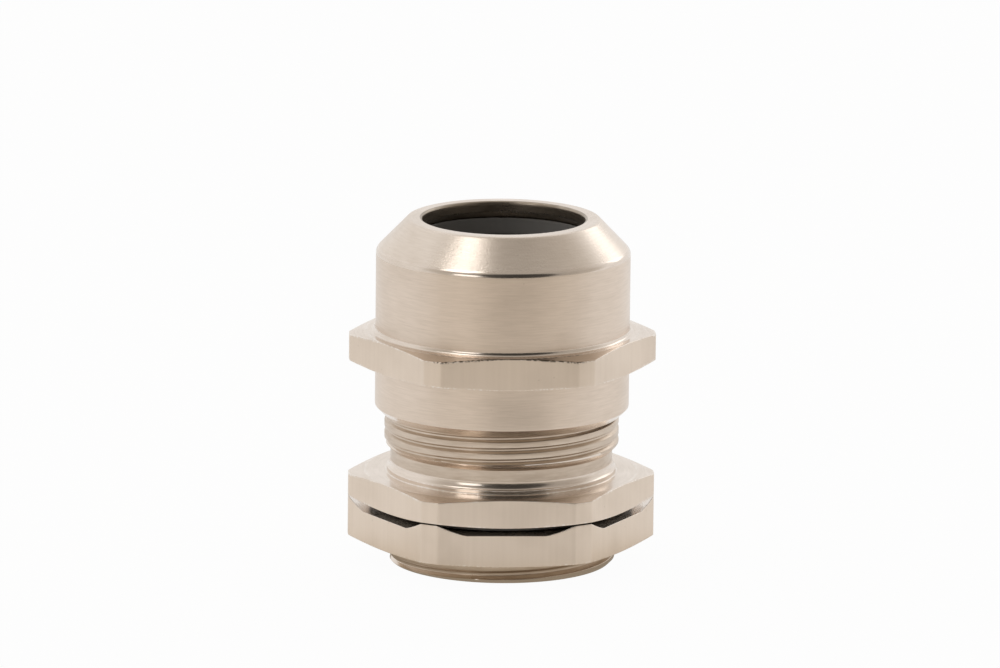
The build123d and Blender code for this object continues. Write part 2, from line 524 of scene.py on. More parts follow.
class NodeBoard:
    """A short way to wire the nodes of one material."""

    def __init__(self, name: str) -> None:
        """Start a material with only a shader and an output.

        Args:
            name: The material's name.
        """
        self.material = bpy.data.materials.new(name)
        self.material.use_nodes = True
        self.tree = self.material.node_tree
        self.shader = self.tree.nodes["Principled BSDF"]

    def add(self, kind: str, settings: dict | None = None, **inputs: object) -> bpy.types.Node:
        """Add a node.

        Args:
            kind: The node's type name.
            settings: Values of the node's own properties.
            **inputs: Values or output sockets for its inputs, with _ for a space in the name.

        Returns:
            The node.
        """
        node = self.tree.nodes.new(kind)
        for key, value in (settings or {}).items():
            setattr(node, key, value)
        for key, value in inputs.items():
            self.feed(node.inputs[key.replace("_", " ")], value)
        return node

    def feed(self, socket: bpy.types.NodeSocket, value: object) -> None:
        """Link an output to a socket, or write a plain value into it."""
        feed(self.tree, socket, value)

    def math(self, operation: str, *values: object) -> bpy.types.NodeSocket:
        """Result of a Math node on numbers or sockets."""
        return math_node(self.tree, operation, *values)

    def ramp(self, value: object, low: float, high: float, start: float, end: float) -> object:
        """Map value from low..high to start..end, clamped.

        Args:
            value: The value to map.
            low: The value that gives start.
            high: The value that gives end.
            start: The result at low.
            end: The result at high.

        Returns:
            The result's socket.
        """
        node = self.add("ShaderNodeMapRange", {"clamp": True})
        for socket, item in zip(node.inputs, (value, low, high, start, end)):
            self.feed(socket, item)
        return node.outputs["Result"]

    def noise(self, vector: object, scale: float, detail: float, w: object = None) -> object:
        """Value of a noise texture, in four dimensions where w is given.

        Args:
            vector: Where the texture is read.
            scale: Features in a metre.
            detail: How many finer layers are added.
            w: The fourth coordinate.

        Returns:
            The socket of a value round 0.5.
        """
        settings = {"noise_dimensions": "4D" if w is not None else "3D"}
        node = self.add("ShaderNodeTexNoise", settings, Vector=vector, Scale=scale, Detail=detail)
        if w is not None:
            self.feed(node.inputs["W"], w)
        return node.outputs["Fac"]

    def mix(self, factor: object, first: object, second: object) -> object:
        """Mix two colors.

        Args:
            factor: 0 for the first and 1 for the second.
            first: A color or its socket.
            second: A color or its socket.

        Returns:
            The mixed color's socket.
        """
        node = self.add("ShaderNodeMix", {"data_type": "RGBA"})
        self.feed(node.inputs["Factor"], factor)
        self.feed(node.inputs[6], first)
        self.feed(node.inputs[7], second)
        return node.outputs[2]

    def mix_shader(self, factor: object, first: object, second: object) -> object:
        """Mix two shaders.

        Args:
            factor: 0 for the first and 1 for the second.
            first: A shader's socket.
            second: A shader's socket.

        Returns:
            The mixed shader's socket.
        """
        node = self.add("ShaderNodeMixShader")
        for socket, value in zip(node.inputs, (factor, first, second)):
            self.feed(socket, value)
        return node.outputs[0]

    def dress(self, tone: object, rough: object, height: object, depth: float) -> None:
        """Give the shader its color, its roughness and its bump.

        Args:
            tone: The color's socket.
            rough: The roughness's socket.
            height: The socket of the bump's height, about 0 to 1.
            depth: How deep a height of 1 is, in metres.
        """
        bump = self.add("ShaderNodeBump", Height=height, Strength=1.0, Distance=depth)
        self.feed(self.shader.inputs["Base Color"], tone)
        self.feed(self.shader.inputs["Roughness"], rough)
        self.feed(self.shader.inputs["Normal"], bump.outputs["Normal"])

    def length(self, vector: object) -> object:
        """Length of a vector.

        Args:
            vector: The vector's socket.

        Returns:
            The length's socket.
        """
        node = self.add("ShaderNodeVectorMath", {"operation": "LENGTH"})
        self.feed(node.inputs[0], vector)
        return node.outputs["Value"]


@dataclass(frozen=True)
class MetalFinish:
    """Nickel plate over machined brass.

    color is what the plate reflects, and stain its darker tone in grooves and pits. roughness
    rises by up to roughness_swing over fine marks. grain_scale is the number of tool marks in a
    metre and grain_depth their depth in metres. peel is the depth of the plate's fine grain
    beside the marks'. The last field sets how dark the specks along the cap nut's front top edge
    are: painted shade there, while every other sharp edge gets only faint dark specks of burrs.
    """

    color: tuple[float, float, float]
    stain: tuple[float, float, float]
    roughness: float
    roughness_swing: float
    grain: Grain = Grain.AROUND
    grain_scale: float = 5000.0
    grain_depth: float = 4.0e-6
    stain_amount: float = 0.5
    pit_amount: float = 0.5
    anisotropy: float = 0.0
    peel: float = 0.3
    front_edge_shade: float = 0.0

    def material(self, name: str) -> bpy.types.Material:
        """Build the material.

        Args:
            name: The material's name.

        Returns:
            The material.
        """
        board = NodeBoard(name)
        place = board.add("ShaderNodeTexCoord").outputs["Object"]
        marks, fine = self.tool_marks(board, place)
        cloud = board.noise(place, CLOUD_SCALE, 4.0)
        pits = self.pits(board, place)
        shade = board.math("MULTIPLY", board.ramp(marks, 0.35, 0.7, 0.0, 1.0), self.stain_amount)
        shade = board.math("ADD", shade, board.ramp(cloud, 0.45, 0.75, 0.0, 0.25))
        shade = board.math("MAXIMUM", shade, pits)
        tone = board.mix(shade, (*self.color, 1), (*self.stain, 1))
        rubbed, burr_and_edge_shade = self.edges(board, place)
        tone = board.mix(rubbed, tone, (*RUBBED, 1))
        tone = board.mix(burr_and_edge_shade, tone, (*BURR_AND_EDGE_SHADE, 1))
        rough = board.math("MULTIPLY_ADD", fine, self.roughness_swing, self.roughness)
        rough = board.math("ADD", rough, board.ramp(cloud, 0.4, 0.7, -0.02, 0.04))
        rough = board.math("SUBTRACT", rough, board.math("MULTIPLY", rubbed, 0.1))
        height = board.math("SUBTRACT", marks, board.math("MULTIPLY", pits, 1.5))
        skin = board.noise(place, PEEL_SCALE, 3.0)
        height = board.math("MULTIPLY_ADD", skin, self.peel, height)
        board.dress(tone, rough, height, self.grain_depth)
        shader = board.shader
        shader.inputs["Metallic"].default_value = 1.0
        if self.anisotropy:
            tangent = board.add("ShaderNodeTangent", {"direction_type": "RADIAL", "axis": "Z"})
            shader.inputs["Anisotropic"].default_value = self.anisotropy
            shader.inputs["Anisotropic Rotation"].default_value = 0.25
            board.feed(shader.inputs["Tangent"], tangent.outputs["Tangent"])
        return board.material

    def tool_marks(self, board: NodeBoard, place: object) -> tuple[object, object]:
        """Coarse and fine streaks that run the way that the tool went.

        Args:
            board: The material's nodes.
            place: Object coordinates.

        Returns:
            The coarse streaks and the fine ones.
        """
        split = board.add("ShaderNodeSeparateXYZ", Vector=place)
        x, y, z = split.outputs
        if self.grain is Grain.ALONG:
            low = board.math("MULTIPLY", z, 0.012)
            stretched = board.add("ShaderNodeCombineXYZ", X=x, Y=y, Z=low).outputs[0]
            coarse = board.noise(stretched, self.grain_scale * 0.45, 3.0)
            fine = board.noise(stretched, self.grain_scale * 2.2, 2.0)
            return coarse, fine
        square = board.math("ADD", board.math("MULTIPLY", x, x), board.math("MULTIPLY", y, y))
        radius = board.math("SQRT", square)
        run = board.math("DIVIDE", TURNS / self.grain_scale, board.math("MAXIMUM", radius, 1e-5))
        across = board.math("MULTIPLY", x, run)
        deep = board.math("MULTIPLY", y, run)
        curled = board.add("ShaderNodeCombineXYZ", X=radius, Y=z, Z=across).outputs[0]
        coarse = board.noise(curled, self.grain_scale, 3.0, deep)
        fine = board.noise(curled, self.grain_scale * 3.1, 2.0, deep)
        return coarse, fine

    def edges(self, board: NodeBoard, place: object) -> tuple[object, object]:
        """How far each spot of a sharp edge is rubbed bright, and how far dark specks cover it: faint
        burrs everywhere, painted shade on the cap nut's front top edge.

        Args:
            board: The material's nodes.
            place: Object coordinates.

        Returns:
            The rubbed share, and the share of the dark specks with their painted edge shade.
        """
        wear = board.add("ShaderNodeAttribute", {"attribute_name": "wear"}).outputs["Fac"]
        patch = board.noise(place, PATCH_SCALE, 2.0)
        grain = board.noise(place, RUB_SCALE, 3.0)
        rubbed = board.math("MULTIPLY", board.ramp(grain, 0.45, 0.62, 0.0, 1.0), wear)
        rubbed = board.math("MULTIPLY", rubbed, board.ramp(patch, 0.42, 0.58, 0.15, 0.9))
        # Painted shade: within reach of the cap nut's front top edge the specks take the finish's full
        # edge darkness, and elsewhere only a faint 0.05.
        spread = board.add("ShaderNodeVectorMath", {"operation": "MULTIPLY"})
        board.feed(spread.inputs[0], place)
        spread.inputs[1].default_value = EDGE_SHADE_STRETCH
        away = board.add("ShaderNodeVectorMath", {"operation": "DISTANCE"})
        board.feed(away.inputs[0], spread.outputs[0])
        away.inputs[1].default_value = EDGE_SHADE_CENTRE
        near = board.ramp(away.outputs["Value"], EDGE_SHADE_REACH, EDGE_SHADE_REACH * 1.15, self.front_edge_shade, 0.05)
        speck = board.noise(place, SPECK_SCALE, 2.0)
        dark = board.math("MULTIPLY", board.ramp(speck, 0.46, 0.53, 0.0, 1.0), wear)
        return rubbed, board.math("MULTIPLY", dark, near)

    def pits(self, board: NodeBoard, place: object) -> object:
        """Scattered tiny pits, from 0 to pit_amount.

        Args:
            board: The material's nodes.
            place: Object coordinates.

        Returns:
            The depth's socket.
        """
        cells = board.add(
            "ShaderNodeTexVoronoi", {"feature": "F1"}, Vector=place, Scale=PIT_SCALE, Randomness=1.0
        )
        spot = board.ramp(cells.outputs["Distance"], 0.05, 0.13, 1.0, 0.0)
        lot = board.add("ShaderNodeSeparateColor", Color=cells.outputs["Color"]).outputs[0]
        rare = board.ramp(lot, 0.925, 0.935, 0.0, 1.0)
        return board.math("MULTIPLY", board.math("MULTIPLY", spot, rare), self.pit_amount)


@dataclass(frozen=True)
class MouldedFinish:
    """Black moulded plastic or rubber, with a fine skin and a trace of dust."""

    color: tuple[float, float, float]
    dust: tuple[float, float, float]
    roughness: float
    skin_scale: float
    skin_depth: float
    dust_amount: float = 0.2

    def material(self, name: str) -> bpy.types.Material:
        """Build the material.

        Args:
            name: The material's name.

        Returns:
            The material.
        """
        board = NodeBoard(name)
        place = board.add("ShaderNodeTexCoord").outputs["Object"]
        skin = board.noise(place, self.skin_scale, 5.0)
        cloud = board.noise(place, self.skin_scale * 0.06, 3.0)
        dusty = board.ramp(cloud, 0.4, 0.75, 0.0, self.dust_amount)
        tone = board.mix(dusty, (*self.color, 1), (*self.dust, 1))
        rough = board.ramp(cloud, 0.3, 0.7, self.roughness - 0.05, self.roughness + 0.1)
        board.dress(tone, rough, skin, self.skin_depth)
        board.shader.inputs["Specular IOR Level"].default_value = 0.4
        return board.material


# Tool marks, rubbed edges and dark edge specks of the metal finishes. TURNS is how many marks long the
# way round is, over 2 pi, and a scale is how many features a pattern has in a metre. The strong
# painted shade lies along one hexagon edge, the cap nut's front top edge, so heights are stretched
# before the distance from its middle is taken; elsewhere the specks are faint burrs.
TURNS = 6.5
CLOUD_SCALE = 170.0
PATCH_SCALE = 420.0
RUB_SCALE = 5200.0
SPECK_SCALE = 4300.0
PIT_SCALE = 1500.0
PEEL_SCALE = 4500.0
RUBBED = (0.92, 0.88, 0.83)
# Color of the dark edge specks: faint burrs on every sharp edge, painted shade on the cap nut's front
# top edge.
BURR_AND_EDGE_SHADE = (0.06, 0.04, 0.028)
EDGE_SHADE_STRETCH = (1.0, 1.0, 4.0)
EDGE_SHADE_CENTRE = (0.0, -0.012, 0.06)
EDGE_SHADE_REACH = 0.0062

NICKEL = (0.79, 0.70, 0.62)
STAIN = (0.56, 0.47, 0.38)

FINISHES: dict[Finish, MetalFinish | MouldedFinish] = {
    Finish.TURNED: MetalFinish(
        (0.75, 0.638, 0.54), STAIN, 0.27, 0.12, grain_scale=9500.0, grain_depth=3.6e-6,
        stain_amount=0.38, pit_amount=0.7, anisotropy=0.45, peel=0.5,
    ),
    Finish.BRIGHT: MetalFinish(
        NICKEL, STAIN, 0.14, 0.10, grain_scale=6000.0, grain_depth=3.0e-6, stain_amount=0.3,
        pit_amount=0.6, front_edge_shade=0.95,
    ),
    Finish.NOSE: MetalFinish(
        (0.79, 0.70, 0.615), STAIN, 0.25, 0.10, grain_scale=7000.0, grain_depth=4.0e-6,
        stain_amount=0.24, pit_amount=0.9, anisotropy=0.3, peel=3.0,
    ),
    Finish.FACED: MetalFinish(
        NICKEL, STAIN, 0.22, 0.10, grain_scale=5600.0, grain_depth=3.0e-6, stain_amount=0.3
    ),
    Finish.MILLED: MetalFinish(
        (0.765, 0.655, 0.55), STAIN, 0.34, 0.12, Grain.ALONG, grain_scale=5200.0,
        grain_depth=1.8e-6, stain_amount=0.12, pit_amount=0.9, peel=2.2, front_edge_shade=0.95,
    ),
    Finish.THREAD: MetalFinish((0.66, 0.56, 0.465), (0.44, 0.35, 0.265), 0.25, 0.14),
    Finish.BORE: MetalFinish((0.44, 0.38, 0.31), (0.22, 0.175, 0.13), 0.24, 0.12),
    Finish.SPRING: MetalFinish(
        (0.78, 0.76, 0.72), (0.45, 0.43, 0.40), 0.24, 0.08, grain_depth=0.6e-6, stain_amount=0.2
    ),
    # Nylon and rubber are given mid-grey colors, far lighter than their black: painted light, for the
    # dim hole in the cap nut and the gap between the locknut and the flange.
    Finish.NYLON: MouldedFinish((0.25, 0.242, 0.235), (0.31, 0.302, 0.292), 0.46, 2600.0, 3e-6),
    Finish.RUBBER: MouldedFinish((0.25, 0.25, 0.246), (0.31, 0.31, 0.304), 0.58, 3200.0, 4e-6),
}


class Palette:
    """The object's materials, each built once."""

    def __init__(self) -> None:
        """Start with none built."""
        self.built: dict[Finish, bpy.types.Material] = {}

    def material(self, finish: Finish) -> bpy.types.Material:
        """The material of a finish.

        Args:
            finish: The finish.

        Returns:
            Its material, built when it is first asked for.
        """
        if finish not in self.built:
            self.built[finish] = FINISHES[finish].material(finish.value)
        return self.built[finish]


# ---------------------------------------------------------------------------------------------
# The gland's pieces
# ---------------------------------------------------------------------------------------------


def top_of(node: str) -> float:
    """Height of a node's top, in millimetres."""
    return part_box(node)[1].z / MM


def bottom_of(node: str) -> float:
    """Height of a node's bottom, in millimetres."""
    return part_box(node)[0].z / MM


def radius_of(node: str) -> float:
    """Largest distance of a node's skin from the axis, in millimetres."""
    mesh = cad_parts[node].data
    return max(math.hypot(vertex.co.x, vertex.co.y) for vertex in mesh.vertices) / MM


def place_piece(
    piece: bpy.types.Object, body: str, node: str, about: str
) -> bpy.types.Object:
    """Put a finished piece on its body in place of its CAD node, and report it.

    Args:
        piece: The finished object, at the origin.
        body: The body that it moves with.
        node: The CAD node that it replaces.
        about: A few words for the report.

    Returns:
        The piece.
    """
    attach(piece, body)
    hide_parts(node)
    LOG.info("%s: %s, %d faces", piece.name, about, len(piece.data.polygons))
    return piece


def plain_ring(
    name: str, rows: list[Row], palette: Palette, body: str, node: str, about: str
) -> bpy.types.Object:
    """Turn rows that are the same at every angle, and put the ring on its CAD body.

    Args:
        name: The ring's name.
        rows: Its closed outline, all in one finish, which also names its material slot.
        palette: Where the materials come from.
        body: The body that the ring moves with.
        node: The CAD node that it replaces.
        about: A few words for the report.

    Returns:
        The placed ring.
    """
    mesh = tidy(turned_mesh(node, lambda angle: rows, columns()))
    return place_piece(dressed(name, mesh, palette), body, node, about)


@dataclass(frozen=True)
class Threads:
    """The two threads, which the body and both nuts share."""

    entry_radius: float = 10.0
    entry_pitch: float = 1.5
    entry_crest_z: float = -5.0
    cap_radius: float = 10.25
    cap_pitch: float = 1.0
    cap_crest_z: float = 5.24

    def entry(self, low_z: float, high_z: float, fade: float) -> Thread:
        """The entry thread between two heights.

        Args:
            low_z: The thread's low end.
            high_z: The thread's high end.
            fade: How far below its high end the groove fades out.

        Returns:
            The thread.
        """
        return Thread(
            self.entry_radius, self.entry_pitch, self.entry_crest_z, low_z, high_z, 0.1, fade
        )

    def cap(self, low_z: float, high_z: float) -> Thread:
        """The cap thread between two heights.

        Args:
            low_z: The thread's low end.
            high_z: The thread's high end.

        Returns:
            The thread.
        """
        return Thread(
            self.cap_radius, self.cap_pitch, self.cap_crest_z, low_z, high_z, 0.65, 0.2
        )


@dataclass(frozen=True)
class GlandBody:
    """Flange, neck and the two screw threads."""

    threads: Threads
    across_flats: float = 24.0
    chamfer_inset: float = 0.1
    flange_top_z: float = 2.5
    top_drop: float = 0.25
    bottom_rise: float = 0.38
    neck_radius: float = 9.7
    neck_top_z: float = 4.6
    foot_radius: float = 10.02
    foot_z: float = 2.9
    cove: float = 0.9
    cove_sweep: float = 48.0
    groove_inner: float = 9.0
    groove_outer: float = 11.5
    groove_depth: float = 1.0
    relief_z: float = -0.75
    end_chamfer: float = 0.35
    top_chamfer: float = 0.5
    wire_bore: float = 7.6
    wire_bore_top: float = 4.4
    contact_bore: float = 8.15
    seat_z: float = 8.2
    insert_bore: float = 8.7
    edge: float = 0.07

    def outline(self, angle: float, plan: Hexagon, end_z: float, top_z: float) -> list[Row]:
        """The body's closed outline at an angle.

        Args:
            angle: The column's angle, in radians.
            plan: The flange's plan.
            end_z: Height of the thread's end.
            top_z: Height of the body's top.

        Returns:
            The rows, up the outside and down the inside.
        """
        side = plan.radius(angle)
        start, slope = plan.chamfer(side, self.chamfer_inset)
        entry_r, cap_r, edge = self.threads.entry_radius, self.threads.cap_radius, self.edge
        entry = self.threads.entry(end_z + 0.01, self.relief_z, 0.4)
        cap = self.threads.cap(self.neck_top_z, top_z - 0.05)
        flange = rounded(
            [
                Corner(entry_r, self.relief_z, 0, Finish.THREAD),
                Corner(self.groove_inner, self.relief_z, 0.15, Finish.BORE),
                Corner(self.groove_inner, self.groove_depth, 0.2, Finish.BORE),
                Corner(self.groove_outer, self.groove_depth, 0.2, Finish.BORE),
                Corner(self.groove_outer, 0, edge, Finish.FACED),
                Corner(start, 0, 0.03, Finish.BRIGHT),
                Corner(side, self.bottom_rise * slope, 0.03, Finish.MILLED),
                Corner(side, self.flange_top_z - self.top_drop * slope, 0.03, Finish.BRIGHT),
                Corner(start, self.flange_top_z, 0.03, Finish.BRIGHT),
                Corner(self.foot_radius, self.flange_top_z, 0.08, Finish.BRIGHT),
                Corner(self.foot_radius, self.foot_z, 0.03, Finish.BRIGHT),
                *self.cove_corners(),
                Corner(self.neck_radius, self.neck_top_z, 0, Finish.BRIGHT),
            ]
        )
        inside = rounded(
            [
                Corner(cap_r - self.top_chamfer, top_z, 0.05, Finish.FACED),
                Corner(self.insert_bore + 0.2, top_z, 0.05, Finish.BORE),
                Corner(self.insert_bore, top_z - 0.2, 0.05, Finish.BORE),
                Corner(self.insert_bore, self.seat_z, 0.1, Finish.BORE),
                Corner(self.contact_bore, self.seat_z, 0.05, Finish.BORE),
                Corner(self.contact_bore, self.wire_bore_top, 0.1, Finish.BORE),
                Corner(self.wire_bore, self.wire_bore_top, 0.05, Finish.BORE),
                Corner(self.wire_bore, end_z + 0.3, 0.05, Finish.FACED),
                Corner(self.wire_bore + 0.3, end_z, 0.05, Finish.FACED),
                Corner(entry_r - self.end_chamfer, end_z, 0, Finish.THREAD),
            ]
        )
        entry_rows = entry.screw_rows(angle, lambda z: self.entry_blank(z, end_z))
        cap_rows = cap.screw_rows(angle, lambda z: self.cap_blank(z, top_z))
        return entry_rows + flange + cap_rows + inside

    def cove_corners(self) -> list[Corner]:
        """The hollow between the neck's foot and the neck, going up.

        Returns:
            The corners, from the foot's side to the plain neck.
        """
        steps = 7
        sweep = math.radians(self.cove_sweep)
        top_z = self.foot_z + self.cove * math.sin(sweep)
        corners = []
        for step in range(1, steps + 1):
            angle = sweep * (1 - step / steps)
            radius = self.neck_radius + self.cove * (1 - math.cos(angle))
            # The last stretch, the plain neck wall, gets the darker thread finish: painted shade
            # between the flange and the cap nut.
            finish = Finish.BRIGHT if step < steps else Finish.THREAD
            corners.append(Corner(radius, top_z - self.cove * math.sin(angle), 0, finish))
        return corners

    def entry_blank(self, z: float, end_z: float) -> float:
        """Radius of the entry thread's blank, with its end chamfer."""
        radius = self.threads.entry_radius
        return min(radius, radius - self.end_chamfer + z - end_z)

    def cap_blank(self, z: float, top_z: float) -> float:
        """Radius of the cap thread's blank, with a cone up from the neck and a top chamfer.

        Args:
            z: The height.
            top_z: Height of the body's top.

        Returns:
            The radius.
        """
        radius = self.threads.cap_radius
        shoulder = self.neck_radius + z - self.neck_top_z
        chamfer = radius - self.top_chamfer + top_z - z
        return min(radius, shoulder, chamfer)

    def build(self, palette: Palette) -> bpy.types.Object:
        """Build the body and put it on its CAD body.

        Args:
            palette: Where the materials come from.

        Returns:
            The placed piece.
        """
        node = "gland_body"
        plan = Hexagon(self.across_flats, radius_of(node))
        end_z, top_z = bottom_of(node), top_of(node)
        angles = columns(plan.edge_angles(plan.corner_radius, EDGE_SPREAD))
        mesh = turned_mesh(node, lambda a: self.outline(a, plan, end_z, top_z), angles)
        piece = dressed("gland_body_metal", tidy(mesh), palette)
        return place_piece(piece, "body", node, "flange and two threads")


@dataclass(frozen=True)
class Locknut:
    """Hexagon nut with a cup in its upper face, which leaves a tooth at each corner."""

    threads: Threads
    across_flats: float = 24.0
    cup_floor_radius: float = 12.48
    cup_depth: float = 0.92
    chamfer_inset: float = 0.1
    bottom_rise: float = 0.25
    tooth_edge: float = 0.06
    mouth_gap: float = 0.25

    def outline(self, angle: float, plan: Hexagon, low_z: float, high_z: float) -> list[Row]:
        """The nut's closed outline at an angle.

        Args:
            angle: The column's angle, in radians.
            plan: The nut's plan.
            low_z: Height of the nut's bottom.
            high_z: Height of the tips of its teeth.

        Returns:
            The rows, up the outside and down the thread.
        """
        side = plan.radius(angle)
        floor_z = high_z - self.cup_depth
        start, slope = plan.chamfer(side, self.chamfer_inset)
        wall_foot = min(self.cup_floor_radius, side - self.tooth_edge)
        wall_top = floor_z + max(0.0, side - self.cup_floor_radius)
        mouth = self.threads.entry_radius + self.mouth_gap
        outside = rounded(
            [
                Corner(mouth, low_z, 0.04, Finish.FACED),
                Corner(start, low_z, 0.03, Finish.BRIGHT),
                Corner(side, low_z + self.bottom_rise * slope, 0.03, Finish.MILLED),
                Corner(side, wall_top, 0.03, Finish.BRIGHT),
                Corner(wall_foot, floor_z, 0.03, Finish.FACED),
                Corner(mouth, floor_z, 0.04, Finish.THREAD),
            ]
        )
        low, high = low_z + END_GAP, floor_z - END_GAP
        thread = self.threads.entry(low, high, 0.1)
        edge = mouth - END_GAP
        return outside + thread.nut_rows(angle, lambda z: edge - min(z - low, high - z))

    def build(self, palette: Palette) -> bpy.types.Object:
        """Build the nut and put it on its CAD body.

        Args:
            palette: Where the materials come from.

        Returns:
            The placed piece.
        """
        node = "locknut"
        plan = Hexagon(self.across_flats, radius_of(node))
        low_z, high_z = bottom_of(node), top_of(node)
        extra = plan.edge_angles(plan.corner_radius, EDGE_SPREAD)
        extra += plan.edge_angles(self.cup_floor_radius, (-0.3, 0.0, 0.3))
        mesh = turned_mesh(node, lambda a: self.outline(a, plan, low_z, high_z), columns(extra))
        piece = dressed("locknut_metal", tidy(mesh), palette)
        return place_piece(piece, "locknut", node, "nut with six teeth")


@dataclass(frozen=True)
class CapNut:
    """Compression nut with a plain skirt, a hexagon collar, a barrel and a coned nose."""

    threads: Threads
    across_flats: float = 24.0
    hex_turn: float = 0.7
    radius: float = 11.1
    skirt_chamfer: float = 0.7
    hex_low_z: float = 12.2
    hex_high_z: float = 15.0
    chamfer_inset: float = 0.1
    corner_drop: float = 0.27
    fillet: float = 0.65
    nose_height: float = 2.85
    shoulder: float = 0.6
    rim_radius: float = 8.35
    rim_round: float = 0.4
    hole_radius: float = 7.1
    land: float = 0.95
    cavity_radius: float = 9.8
    thread_top_z: float = 15.6
    relief_top_z: float = 17.3

    def outline(self, angle: float, plan: Hexagon, low_z: float, high_z: float) -> list[Row]:
        """The cap nut's closed outline at an angle.

        Args:
            angle: The column's angle, in radians.
            plan: The collar's plan.
            low_z: Height of the skirt's edge.
            high_z: Height of the rim.

        Returns:
            The rows, up the outside and down the inside.
        """
        side = plan.radius(angle)
        start, slope = plan.chamfer(side, self.chamfer_inset)
        drop = self.corner_drop * slope
        chamfer = self.skirt_chamfer
        land_z = high_z - self.land
        cavity_top_z = land_z - (self.cavity_radius - self.hole_radius)
        thread = self.threads.cap(low_z + END_GAP, self.thread_top_z)
        thread = replace(thread, fade_low=0.1, fade_high=0.4)
        root = thread.radius + thread.play
        outside = rounded(
            [
                Corner(root + END_GAP, low_z, 0.01, Finish.BRIGHT),
                Corner(self.radius - chamfer, low_z, 0.02, Finish.BRIGHT),
                Corner(self.radius, low_z + chamfer, 0.12, Finish.TURNED),
                Corner(self.radius, self.hex_low_z, 0.1, Finish.FACED),
                Corner(start, self.hex_low_z, 0.03, Finish.BRIGHT),
                Corner(side, self.hex_low_z + drop, 0.03, Finish.MILLED),
                Corner(side, self.hex_high_z - drop, 0.03, Finish.BRIGHT),
                Corner(start, self.hex_high_z, 0.03, Finish.BRIGHT),
                Corner(self.radius, self.hex_high_z, self.fillet, Finish.TURNED, Finish.BRIGHT),
                Corner(
                    self.radius, high_z - self.nose_height, self.shoulder, Finish.NOSE, Finish.BRIGHT
                ),
                Corner(self.rim_radius, high_z, self.rim_round, Finish.FACED),
                Corner(self.hole_radius, high_z, 0.22, Finish.BORE),
                Corner(self.hole_radius, land_z, 0.04, Finish.BORE),
                Corner(self.cavity_radius, cavity_top_z, 0.2, Finish.BORE),
                Corner(self.cavity_radius, self.relief_top_z, 0.05, Finish.BORE),
                Corner(root, self.relief_top_z, 0.1, Finish.BORE),
            ]
        )
        return outside + thread.nut_rows(angle, lambda z: root + thread.low_z - z)

    def build(self, palette: Palette) -> bpy.types.Object:
        """Build the cap nut and put it on its CAD body.

        Args:
            palette: Where the materials come from.

        Returns:
            The placed piece.
        """
        node = "cap_nut"
        plan = Hexagon(self.across_flats, radius_of(node), self.hex_turn)
        low_z, high_z = bottom_of(node), top_of(node)
        angles = columns(plan.edge_angles(plan.corner_radius, EDGE_SPREAD))
        mesh = turned_mesh(node, lambda a: self.outline(a, plan, low_z, high_z), angles)
        piece = dressed("cap_nut_metal", tidy(mesh), palette)
        return place_piece(piece, "cap", node, "collar, barrel and nose")


@dataclass(frozen=True)
class SoftRings:
    """The O-ring, the thrust ring and the sealing insert, which are plain rings."""

    ring_inner: float = 9.2
    ring_outer: float = 11.24
    thrust_bore: float = 7.5
    thrust_wall: float = 1.1
    seal_radius: float = 7.95
    seal_bore: float = 6.7
    lip_depth: float = 0.35
    lip_count: int = 4

    def o_ring(self, palette: Palette) -> bpy.types.Object:
        """Oval ring squeezed between the flange's groove and the locknut.

        Args:
            palette: Where the materials come from.

        Returns:
            The placed piece.
        """
        node = "flange_o_ring"
        low_z, high_z = bottom_of(node), top_of(node)
        middle_r, middle_z = (self.ring_inner + self.ring_outer) / 2, (low_z + high_z) / 2
        half_r, half_z = (self.ring_outer - self.ring_inner) / 2, (high_z - low_z) / 2
        steps = 28
        rows = [
            Row(
                middle_r + half_r * math.cos(2 * math.pi * step / steps),
                middle_z + half_z * math.sin(2 * math.pi * step / steps),
                Finish.RUBBER,
            )
            for step in range(steps)
        ]
        name = "flange_o_ring_rubber"
        return plain_ring(name, rows, palette, "seal_ring", node, "squeezed O-ring")

    def thrust_ring(self, palette: Palette) -> bpy.types.Object:
        """Slip ring that lies in the cap nut's cone.

        Args:
            palette: Where the materials come from.

        Returns:
            The placed piece.
        """
        node = "thrust_ring"
        low_z, high_z = bottom_of(node), top_of(node)
        bore, outer = self.thrust_bore, radius_of(node)
        step = self.thrust_wall * math.sqrt(2)
        rows = rounded(
            [
                Corner(outer, low_z, 0.1, Finish.NYLON),
                Corner(outer, high_z + bore - outer, 0.1, Finish.NYLON),
                Corner(bore, high_z, 0.1, Finish.NYLON),
                Corner(bore, high_z - step, 0.25, Finish.NYLON),
                Corner(high_z + bore - step - low_z, low_z, 0.1, Finish.NYLON),
            ]
        )
        name = "thrust_ring_nylon"
        return plain_ring(name, rows, palette, "slip_ring", node, "slip ring")

    def sealing_insert(self, palette: Palette) -> bpy.types.Object:
        """Rubber sleeve with rounded sealing lips in its bore.

        Args:
            palette: Where the materials come from.

        Returns:
            The placed piece.
        """
        node = "sealing_insert"
        low_z, high_z = bottom_of(node), top_of(node)
        corners = [
            Corner(self.seal_radius, low_z, 0.1, Finish.RUBBER),
            Corner(self.seal_radius, high_z, 0.25, Finish.RUBBER),
            Corner(self.seal_bore, high_z, 0.3, Finish.RUBBER),
        ]
        pitch = (high_z - low_z) / (self.lip_count + 1)
        for index in range(self.lip_count, 0, -1):
            middle = low_z + pitch * index
            for height, depth in ((0.5, 0.0), (0.25, 1.0), (-0.25, 1.0), (-0.5, 0.0)):
                radius = self.seal_bore + self.lip_depth * depth
                corners.append(Corner(radius, middle + pitch / 2 * height, 0.2, Finish.RUBBER))
        corners.append(Corner(self.seal_bore, low_z, 0.1, Finish.RUBBER))
        name = "sealing_insert_rubber"
        return plain_ring(name, rounded(corners), palette, "body", node, "sleeve with sealing lips")


